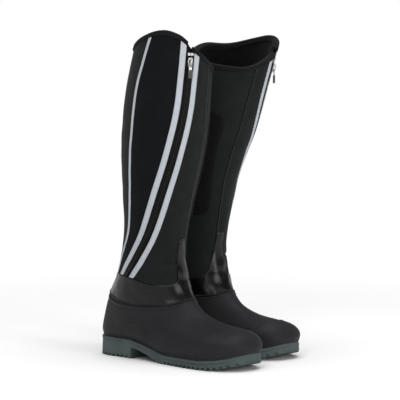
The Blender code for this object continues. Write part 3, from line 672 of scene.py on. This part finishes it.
def build_bands(boot):
    strip(boot, "piping_tape", piping_line, -2.6, 2.6, trim_top, 0.35, -0.9, STRIPE_TAPE, ("rear_piping",), 0.45)
    strip(boot, "front_welt", constant(FRONT_SEAM), -1.5, 1.5, trim_top, 0.3, -0.9, LEATHER, ("front_piping",), 0.9)
    for name, sign in (("front", 1), ("rear", -1)):
        strip(boot, "band_" + name, zip_line, sign * STRIPE[0], sign * STRIPE[1], trim_top, 0.75, -0.1, STRIPE_TAPE,
              ("stripe_" + name,), 0.15, across=13)
        strip(boot, "tape_" + name, zip_line, sign * TAPE[0], sign * TAPE[1], shaft_top, -0.9, -1.7, ZIP_CLOTH,
              ("zip_tape_" + name,), 0.0, across=9)
        for edge in (0.9, STRIPE[1] - STRIPE[0] - 0.8):
            offset = sign * (STRIPE[0] + edge)
            height = np.linspace(116.0, 440.0, 500)
            angle = beside(zip_line, offset)(height)
            keep = (height < trim_top(angle) - 2.0) & (height > leather_edge(angle) + TUCK + 1.5)
            folds = shaft_folds(angle, height)
            stitches(boot, f"band_thread_{name}_{'inner' if edge < 5 else 'outer'}",
                     at_height(height[keep], angle[keep]), angle[keep], (0.85 + 0.6 * folds)[keep], STRIPE_TAPE,
                     pitch=2.8, length=2.0, radius=0.26)


def build_teeth(boot):
    """Two rows of moulded teeth that mesh on the zip's middle line."""
    pitch, thick, outward = 2.9, 1.25, (-1.5, 0.75)
    profile = ((-0.75, 0.62), (-0.2, 1.0), (0.5, 0.55), (2.6, 0.75), (3.6, 1.0))
    height = np.linspace(108.0, ZIP_END - 3.0, 900)
    angle = zip_line(height)
    station = at_height(height, angle)
    line = skin(station, angle, 0.35 * shaft_folds(angle, height))
    normals = normal_at(station, angle)
    run = lines_between(line[None], 1)[0]
    for name, sign in (("front", 1.0), ("rear", -1.0)):
        points, faces = [], []
        for middle in np.arange(pitch + (0.5 * pitch if sign > 0 else 0.0), run[-1] - pitch, pitch):
            at = at_run(middle, run, line)
            out = at_run(middle, run, normals)
            ahead = at_run(middle + 1.0, run, line) - at
            ahead /= np.linalg.norm(ahead)
            side = np.cross(out, ahead) * sign
            start = len(points)
            for across, share in profile:
                half = 0.5 * thick * share
                for along, lift in ((-half, outward[0]), (half, outward[0]), (half, outward[1] - 0.3),
                                    (half * 0.6, outward[1]), (-half * 0.6, outward[1]),
                                    (-half, outward[1] - 0.3)):
                    points.append(at + side * across + ahead * along + out * lift)
            faces += [tuple(start + k for k in face) for face in ring_faces(len(profile), 6)]
        boot.add("teeth_" + name, points, faces, TEETH_PLASTIC, ("zip_teeth_" + name,))


def build_leather(boot):
    """The ankle panel of shiny synthetic leather, with a tongue up the front seam."""
    corners = np.array(ANKLE_TOP[:-1] + ((360.0, 121.0),), float)
    step = np.hypot(np.diff(corners[:, 0]) * 0.85, np.diff(corners[:, 1]))
    run = np.concatenate(([0.0], np.cumsum(step)))
    count = 320
    at = np.linspace(0.0, run[-1], count, endpoint=False)
    soft = np.linspace(-6.0, 6.0, 7)
    read = (at[:, None] + soft) % run[-1]
    unrolled = np.interp(read, run, corners[:, 0])
    laps = np.round((unrolled - np.interp(at, run, corners[:, 0])[:, None]) / 360.0)
    top_angle = (unrolled - 360.0 * laps).mean(1)
    top_height = np.interp(read, run, corners[:, 1]).mean(1)
    even = 360.0 * at / run[-1]
    low_angle = 0.5 * top_angle + 0.5 * even
    v = np.linspace(0, 1, 46)[:, None]
    angle = top_angle + (low_angle - top_angle) * v
    low_height = galosh_top(low_angle) - 3.0
    height = top_height + (low_height - top_height) * v
    station = at_height(height, angle)
    fold = 0.35 * ripples(angle, height, 26.0, 11) + 0.22 * ripples(angle, height * 0.35, 11.0, 12)
    front = bump(angle - 180.0, 50.0)
    fold = fold - 0.6 * bump(height - 120.0, 3.5) * front + 0.5 * bump(height - 129.0, 6.0) * front
    _, along, _ = borders(surface(station, angle), wraps=True)
    rim = bump(along - 1.6, 1.1)
    outer = 1.2 + np.clip(fold, -0.7, 0.8) * np.clip(along / 8.0, 0.15, 1.0) + 0.2 * rim
    boot.slab("ankle_leather", station[::-1], angle[::-1], outer[::-1], -0.4, LEATHER,
              ("ankle_panel",), wraps=True, turned=0.9)
    seam = np.concatenate((top_angle, top_angle[:1] + 360.0))
    inside = np.concatenate((top_height, top_height[:1])) - 3.0
    stitches(boot, "ankle_thread", at_height(inside, seam), seam, 1.25, THREAD, pitch=3.4, length=2.4)


def meet_sole(points):
    """Draws the foot's lowest part out to the sole's outline, so that the two meet without a gap."""
    inset, rise = 0.9, 10.0
    x, y, z = np.moveaxis(points, -1, 0)
    centre_y = np.clip(y, -SOLE_LENGTH + 55.0, -40.0)
    low, high = np.full(x.shape, 0.3), np.full(x.shape, 3.0)
    for _ in range(18):
        middle = 0.5 * (low + high)
        outer, inner = half_widths(centre_y + middle * (y - centre_y))
        outside = np.abs(middle * x) > np.where(x < 0, outer, inner) - inset
        low, high = np.where(outside, low, middle), np.where(outside, middle, high)
    above = z - sole_top(y)
    share = np.clip(1 - above / rise, 0, 1) ** 2 * (above > 0.15) * (np.hypot(x, y - centre_y) > 12.0)
    scale = 1 + (0.5 * (low + high) - 1) * share
    moved = np.array(points)
    moved[..., 0] = x * scale
    moved[..., 1] = centre_y + (y - centre_y) * scale
    return moved


def build_galosh(boot):
    """The moulded rubber foot: a double bead at its top edge, a toe cap and a raised arch at the heel."""
    angle = np.arange(0.0, 360.0, 1.6)[None, :]
    share = np.linspace(0, 1, 190)[:, None] ** 1.35
    top = at_height(galosh_top(angle), angle)
    station = top + (TABLE[-1][0] - 0.4 - top) * share
    angle = np.broadcast_to(angle, station.shape)
    base = surface(station, angle)
    from_top = station - top
    outer = 1.1 + 1.2 * bump(from_top - 1.6, 1.3) - 0.9 * bump(from_top - 4.6, 1.1)
    outer = outer + 0.7 * bump(from_top - 7.8, 1.5) - 0.4 * bump(from_top - 11.0, 1.4)
    past_cap = round_line(CAP_LINE, angle) - base[..., 1]
    upper = np.clip((base[..., 2] - 16.0) / 8.0, 0, 1)
    outer = outer + 1.1 * upper * bump(past_cap + 0.2, 1.1)
    outer = outer + 0.9 / (1 + np.exp(-(past_cap - 0.4) / 0.7)) * (base[..., 1] < -200.0)
    arch = np.hypot(base[..., 1] + 84.0, (base[..., 2] - 28.0) / 0.95)
    side = np.abs(np.sin(np.radians(angle))) > 0.35
    for radius in (26.0, 33.0):
        outer = outer + 0.8 * bump(arch - radius, 1.0) * side * (base[..., 1] > -130.0)
    outer = outer + 0.12 * ripples(angle, station, 40.0, 21)
    boot.slab("rubber_foot", station, angle, outer, -1.6, RUBBER, ("galosh",), wraps=True,
              floor=(0.1, 3.0), turned=0.9, settle=meet_sole, capped=True)
    ring = np.linspace(0.0, 360.0, 400)
    level = at_height(galosh_top(ring), ring) + 4.7
    stitches(boot, "foot_thread", level, ring, 0.95, THREAD, pitch=3.4, length=2.3, radius=0.34)


def build_grip_patch(boot):
    """The grip patch on the inner side of the leg."""
    low, high, corner = 205.0, 357.0, 15.0
    v = np.linspace(0, 1, 70)[:, None]
    u = np.linspace(0, 1, 34)[None, :]
    height = low + (high - low) * v
    into = np.clip((corner - np.minimum(height - low, high - height)) / corner, 0, 1)
    inset = corner * (1 - np.sqrt(1 - into**2))
    left = 213.0 + 5.0 * v + inset
    right = 300.0 - inset
    angle = left + (right - left) * u
    height = np.broadcast_to(height, angle.shape)
    station = at_height(height, angle)
    outer = 1.9 + shaft_folds(angle, height)
    boot.slab("grip_pad", station, angle, outer, -0.3, GRIP, ("grip_patch",), turned=1.6)


def build_collar(boot):
    """The bound edge, rolled over the panels and the lining, open at the zip."""
    ends = [float(beside(zip_line, 4.9)(np.array(450.0))), float(beside(zip_line, -4.9)(np.array(455.0))) + 360.0]
    angle = np.linspace(ends[0], ends[1], 230)
    edge = collar_at(angle) + 0.5 * ripples(angle, 0.0 * angle, 60.0, 31)
    roll = [(1.4 * 0.5 * (1 + math.cos(t)) - 7.9 * 0.5 * (1 - math.cos(t)), 1.9 * math.sin(t) - 0.6)
            for t in np.linspace(0.0, math.pi, 12)]
    profile = [(0.7, -6.2), (1.5, -5.6)] + roll + [(-8.1, -7.6), (-7.4, -8.2), (-7.2, -2.0), (0.3, -2.0)]
    points = np.stack([skin(at_height(edge + lift, angle), angle, offset) for offset, lift in profile], 1)
    over = np.array([[offset - lift for offset, lift in profile]])
    weave = np.stack(np.broadcast_arrays(angle[:, None] * GIRTH_PER_DEGREE, over), -1)
    boot.add("collar_roll", points, ring_faces(len(angle), len(profile)), BINDING, ("collar_binding",), weave=weave)
    station = at_height(edge - 4.6, angle)
    stitches(boot, "collar_thread", station[3:-3], angle[3:-3], 1.55, THREAD, pitch=3.2, length=2.3)


def build_lining(boot):
    """The thermal lining: one cup from the collar down to the toe."""
    angle = np.arange(0.0, 360.0, 3.6)[None, :]
    top = at_height(collar_at(angle) - 3.4, angle)
    station = top + (TABLE[-4][0] - top) * np.linspace(0, 1, 150)[:, None]
    angle = np.broadcast_to(angle, station.shape)
    start, deep = TABLE[7][0], TABLE[8][0] + 8.0
    foot = np.clip((station - start) / (deep - start), 0, 1)
    soft = 0.25 * ripples(angle, station, 34.0, 41)
    top_points = skin(station, angle, -4.5 - 2.4 * foot)
    low_points = skin(station, angle, -6.7 - 2.4 * foot + soft)
    lift_off_sole(top_points, 9.9)
    lift_off_sole(low_points, 12.3)
    boot.add("inner_lining", np.stack((top_points, low_points)), slab_faces(*station.shape, True, capped=True), FELT,
             ("lining",))


def half_widths(y):
    """The outsole's outer and inner half widths at y, with a round heel and toe."""
    outer = curve(((-290, 47), (-245, 50), (-215, 51), (-185, 49), (-150, 44), (-115, 38), (-80, 35.5),
                   (-40, 35), (5, 34)), y)
    inner = curve(((-290, 47), (-245, 47), (-215, 46), (-185, 42), (-150, 34), (-115, 29), (-80, 31.5),
                   (-40, 34), (5, 34)), y)
    heel = np.clip(-y / 33.0, 0, 1)
    heel = np.sqrt(1 - (1 - heel) ** 2)
    rounds = []
    for length in (64.0, 52.0):
        toe = np.clip((SOLE_LENGTH + y) / length, 0, 1)
        rounds.append((1 - (1 - toe) ** 2.2) ** (1 / 2.2))
    return outer * heel * rounds[0], inner * heel * rounds[1]


def sole_bottom(y):
    """Height of the outsole's underside, without its tread."""
    past = np.clip((y - BREAST_Y) / (FOREFOOT_Y - BREAST_Y), 0, 1)
    toe = np.clip((BALL_Y - y) / (SOLE_LENGTH + BALL_Y), 0, 1)
    return np.where(y > BREAST_Y, 0.0, 15.5 * (1 - past * past * (3 - 2 * past)) + TOE_SPRING * toe**2)


def build_outsole(boot):
    """The lugged outsole: notches along its lower edge, chevron grooves beneath and a lip round the top."""
    pitch, depth, width, rim_width = 8.6, 3.6, 4.6, 12.0
    turn = np.linspace(0.02, math.pi - 0.015, 430)
    y = -0.5 * SOLE_LENGTH * (1 - np.cos(turn))
    y = np.sort(np.concatenate((y, [BREAST_Y + 0.1, BREAST_Y - 0.1])))[::-1]
    outer, inner = half_widths(y)
    low, high = sole_bottom(y), sole_top(y)
    treads = (y > BREAST_Y + 3.0) | (y < FOREFOOT_Y)
    u = np.linspace(-1.0, 1.0, 41)

    def groove(at, wide):
        from_middle = np.abs((at / pitch + 0.5) % 1.0 - 0.5) * pitch
        return np.clip((wide / 2 - from_middle) / 0.7 + 0.5, 0, 1)

    rings = []
    for k, at_y in enumerate(y):
        span = 0.5 * (outer[k] + inner[k])
        middle = 0.5 * (inner[k] - outer[k])
        bevel = min(1.1, 0.2 * span)
        x = middle + u * (span - bevel)
        to_edge = span - np.abs(x - middle)
        rim = np.clip((rim_width - to_edge) / 1.2, 0, 1)
        chevron = at_y + 0.35 * np.abs(x - middle)
        inside = groove(chevron, 3.0) * np.clip((to_edge - rim_width - 3.0) / 1.2, 0, 1)
        channel = np.clip((2.4 - np.abs(to_edge - rim_width - 2.0)) / 0.8, 0, 1)
        cut = depth * np.maximum.reduce((rim * groove(at_y, width), 0.8 * inside, 0.6 * channel)) * treads[k]
        under = np.stack((x, np.full_like(x, at_y), low[k] + cut), -1)
        notch = depth * float(groove(np.array(at_y), width)) * treads[k]
        walls = []
        for sign, half in ((1.0, inner[k]), (-1.0, outer[k])):
            lip = min(0.8, 0.1 * half)
            levels = [(half - 0.25 * bevel, low[k] + notch + 0.5), (half, low[k] + notch + 1.3),
                      (half - 0.3 * lip, 0.5 * (low[k] + notch + high[k])), (half - lip, high[k] - 5.2),
                      (half - lip, high[k] - 4.6), (half, high[k] - 4.0), (half + 0.2 * lip, high[k] - 2.2),
                      (half - 0.2 * lip, high[k] - 0.7), (half - 1.3 * lip, high[k]),
                      (half - min(6.0, 0.4 * half), high[k])]
            walls.append([(sign * out, at_y, level) for out, level in levels])
        rings.append(np.concatenate((under, walls[0], walls[1][::-1])))
    boot.add("tread_sole", np.array(rings), ring_faces(len(rings), len(rings[0])), SOLE, ("outsole",), sharp=50.0)


def prism(outline, low, high, edge):
    """Points (along, out, across) and faces of a flat plate with softened edges."""
    outline = np.array(outline, float)
    middle = outline.mean(0)
    layers = []
    for level, inset in ((low, edge), (low + edge, 0.0), (high - edge, 0.0), (high, edge)):
        reach_out = outline - middle
        length = np.linalg.norm(reach_out, axis=1, keepdims=True)
        flat = middle + reach_out * (1 - inset / length)
        layers.append([(a, level, s) for a, s in flat])
    return np.array(layers).reshape(-1, 3), ring_faces(4, len(outline))


def rounded(corners, radius, steps=4):
    """An outline of (along, across) corners with each one rounded."""
    made = []
    count = len(corners)
    for k in range(count):
        here = np.array(corners[k], float)
        back, ahead = np.array(corners[k - 1], float) - here, np.array(corners[(k + 1) % count], float) - here
        start = here + back / np.linalg.norm(back) * radius
        end = here + ahead / np.linalg.norm(ahead) * radius
        for t in np.linspace(0, 1, steps + 1):
            made.append((1 - t) ** 2 * start + 2 * t * (1 - t) * here + t**2 * end)
    return made


def swept(path, half_wide, half_thick, closed=False):
    """A rounded bar along (along, out, across) points that lie in one plane; sides stand square to the path."""
    path = np.array(path, float)
    ahead = np.roll(path, -1, 0) - np.roll(path, 1, 0)
    if not closed:
        ahead[0], ahead[-1] = path[1] - path[0], path[-1] - path[-2]
    ahead /= np.linalg.norm(ahead, axis=1, keepdims=True)
    plane = np.cross(path[1] - path[0], path[len(path) // 3] - path[0])
    plane /= np.linalg.norm(plane)
    side = np.cross(ahead, plane)
    points = []
    for place, beside_it in zip(path, side):
        for turn in np.linspace(0.0, math.tau, 12, endpoint=False):
            c, s = math.cos(turn), math.sin(turn)
            squared = max(abs(c), abs(s)) ** 0.6
            points.append(place + beside_it * half_thick * c / squared + plane * half_wide * s / squared)
    return np.array(points), ring_faces(len(path), 12, closed=closed)


def together(*parts):
    """One set of points and faces from several."""
    points, faces = [], []
    for some, their_faces in parts:
        faces += [tuple(len(points) + k for k in face) for face in their_faces]
        points += [tuple(p) for p in some]
    return np.array(points), faces


def arc(centre, radius, start, end, steps=7):
    return [(centre[0] + radius * math.cos(math.radians(t)), centre[1] + radius * math.sin(math.radians(t)))
            for t in np.linspace(start, end, steps)]


def joint(name):
    return next(j for j in frame["joints"] if j["name"] == name)


def build_hardware(boot):
    """The slider, its bridge, the metal link and the moulded tab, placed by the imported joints."""
    swing, travel = joint(boot.side + "_pull_swing"), joint(boot.side + "_zip_travel")
    pivot, side, down = (np.array(v, float) for v in (swing["pos_m"], swing["axis"], travel["axis"]))
    out = np.cross(side, down)
    out /= np.linalg.norm(out)
    across = np.cross(out, down)
    origin = pivot - (down * 1.6 + out * 4.1) * MM

    def put(points, start, axes):
        return start + (np.array(points) @ np.array(axes)) * MM

    wings = rounded(((-7, -3.1), (-7, 3.1), (-2.6, 3.8), (6.4, 2.7), (6.4, -2.7), (-2.6, -3.8)), 1)
    bridge_path = [(a, o, 0) for a, o in [(-4.5, 2.8)] + arc((-3.2, 4.15), 1.3, 180, 90, 5)
                   + arc((2.5, 4.15), 1.3, 90, 0, 5) + [(3.8, 2.8)]]
    nose = rounded(((-7.6, -1.1), (-7.6, 1.1), (-5.4, 1.1), (-5.4, -1.1)), 0.5)
    points, faces = together(prism(wings, 1.6, 3.1, 0.35), swept(bridge_path, 1.1, 0.5),
                             prism(nose, 2, 4, 0.3))
    boot.add("slider_body", put(points, origin, (down, out, across)), faces, NICKEL, ("zip_slider",), "slider",
             placed=True)
    hang = np.array((0, 0, -1))
    away = np.cross(side, hang)
    away /= np.linalg.norm(away)
    pull_axes = (hang, away, side / np.linalg.norm(side))
    loop = [(a, 0, s) for a, s in rounded(((0, -2.4), (0, 2.4), (4.9, 2.1), (4.9, -2.1)), 1.1, 5)]
    plate = rounded(((4.7, -2.5), (4.7, 2.5), (9, 2.1), (9, -2.1)), 0.7)
    boss = rounded(((5.4, -1.4), (5.4, 1.4), (8.2, 1.1), (8.2, -1.1)), 0.7)
    points, faces = together(swept(loop, 0.6, 0.62, closed=True), prism(plate, -0.55, 0.55, 0.2),
                             prism(boss, 0.4, 0.85, 0.18))
    boot.add("pull_link", put(points, pivot, pull_axes), faces, NICKEL, ("zip_pull",), "pull", placed=True)
    body = rounded(((8.4, -2.7), (8.4, 2.7), (11.2, 3.4), (18.8, 3.3), (20.5, 2.2), (20.5, -2.2), (18.8, -3.3),
                    (11.2, -3.4)), 1)
    ribs = [prism(rounded(((a, -2.3), (a, 2.3), (a + 1.1, 2.3), (a + 1.1, -2.3)), 0.4), low, high, 0.2)
            for a in (11.6, 13.7, 15.8, 17.9) for low, high in ((0.9, 1.45), (-1.45, -0.9))]
    points, faces = together(prism(body, -1.15, 1.15, 0.4), *ribs)
    boot.add("tab_grip", put(points, pivot, pull_axes), faces, TAB_PLASTIC, ("pull_tab",), "pull", placed=True)


INNER_LOOKS = {"insole_board": BOARD, "footbed": FELT, "shank": NICKEL, "heel_counter": BOARD, "toe_puff": BOARD,
               "storm_flap": SMOOTH, "zip_top_stop_front": NICKEL, "zip_top_stop_rear": NICKEL,
               "zip_bottom_stop": BLACK_METAL}


def dress_kept_nodes(boot):
    """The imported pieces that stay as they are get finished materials."""
    for node, look in INNER_LOOKS.items():
        kept = frame["nodes"][boot.side + "_" + node]
        kept.data.materials.clear()
        kept.data.materials.append(look.material)


def build_boot(side):
    boot = Boot(side)
    build_shaft(boot)
    build_bands(boot)
    build_teeth(boot)
    build_leather(boot)
    build_galosh(boot)
    build_grip_patch(boot)
    build_collar(boot)
    build_lining(boot)
    build_outsole(boot)
    build_hardware(boot)
    dress_kept_nodes(boot)


# The camera's direction from the object, roll, distance, lens, aim and shift
VIEW_AZIMUTH, VIEW_ELEVATION, VIEW_ROLL = -48.0, 4.9, 0.5
VIEW_DISTANCE = 3.95
FOCAL = 240.6
AIM = (-0.0112, 0.010, 0.24)
SHIFT = (0.0101, -0.0163)


def build_camera():
    a, e = math.radians(VIEW_AZIMUTH), math.radians(VIEW_ELEVATION)
    back = Vector((math.sin(a) * math.cos(e), -math.cos(a) * math.cos(e), math.sin(e)))
    camera = put_in_scene("camera", bpy.data.cameras.new("camera"))
    camera.location = Vector(AIM) + back * VIEW_DISTANCE
    facing = (-back).to_track_quat("-Z", "Y")
    camera.rotation_euler = (facing @ Quaternion((0, 0, 1), math.radians(VIEW_ROLL))).to_euler()
    camera.data.lens = FOCAL
    camera.data.shift_x, camera.data.shift_y = SHIFT
    bpy.context.scene.camera = camera


def add_light(name, place, target, size, power):
    lamp = bpy.data.lights.new(name, "AREA")
    lamp.shape = "RECTANGLE"
    lamp.size, lamp.size_y = size
    lamp.energy = power
    made = put_in_scene(name, lamp)
    made.location = place
    made.rotation_euler = (Vector(target) - Vector(place)).to_track_quat("-Z", "Y").to_euler()


def build_surround():
    """White round the horizon and dim overhead, so that dark gloss keeps its depth."""
    world = bpy.data.worlds.new("surround")
    world.use_nodes = True
    tree = world.node_tree
    direction = make_node(tree, "ShaderNodeTexCoord").outputs["Generated"]
    split = make_node(tree, "ShaderNodeSeparateXYZ", Vector=direction)
    fade = make_node(tree, "ShaderNodeMapRange", Value=split.outputs["Z"], From_Min=0.10, From_Max=0.30, To_Min=1.0,
                     To_Max=0.16)
    background = tree.nodes["Background"].inputs
    tree.links.new(fade.outputs["Result"], background["Strength"])
    background["Color"].default_value = (1, 1, 1, 1)
    bpy.context.scene.world = world


def floor_paint():
    """Matt white that glows further out, so that the floor runs into the white surround."""
    paint = bpy.data.materials.new("floor_paint")
    paint.use_nodes = True
    tree = paint.node_tree
    matt = tree.nodes["Principled BSDF"]
    for socket, value in (("Base Color", (0.93, 0.93, 0.93, 1)), ("Roughness", 0.95), ("Specular IOR Level", 0.0)):
        matt.inputs[socket].default_value = value
    far = make_node(tree, "ShaderNodeVectorMath", Vector=make_node(tree, "ShaderNodeTexCoord").outputs["Object"])
    far.operation = "LENGTH"
    share = make_node(tree, "ShaderNodeMapRange", Value=far.outputs["Value"], From_Min=0.35, From_Max=1.1)
    share.interpolation_type = "SMOOTHSTEP"
    mix = make_node(tree, "ShaderNodeMixShader")
    for source, socket in zip((share, matt, make_node(tree, "ShaderNodeEmission")), mix.inputs):
        tree.links.new(source.outputs[0], socket)
    tree.links.new(mix.outputs[0], tree.nodes["Material Output"].inputs["Surface"])
    return paint


def build_studio():
    """A pale floor, a white surround and soft lights."""
    floor_mesh = bpy.data.meshes.new("floor")
    half = 40
    floor_mesh.from_pydata([(-half, -half, 0), (half, -half, 0), (half, half, 0), (-half, half, 0)], [],
                           [(0, 1, 2, 3)])
    floor_mesh.materials.append(floor_paint())
    floor = put_in_scene("floor", floor_mesh)
    build_surround()
    add_light("overhead", (0, 0, 2.4), (0, 0, 0), (2.6, 2.6), 62.0)
    add_light("key", (-1.7, -0.9, 1.3), (0, 0, 0.25), (0.5, 1.2), 9.0)
    add_light("front", (-0.15, -1.95, 0.7), (0, 0, 0.2), (0.7, 1.0), 13.0)
    bpy.context.scene.view_settings.view_transform = "Standard"


build_boot("right")
build_boot("left")
build_camera()
build_studio()
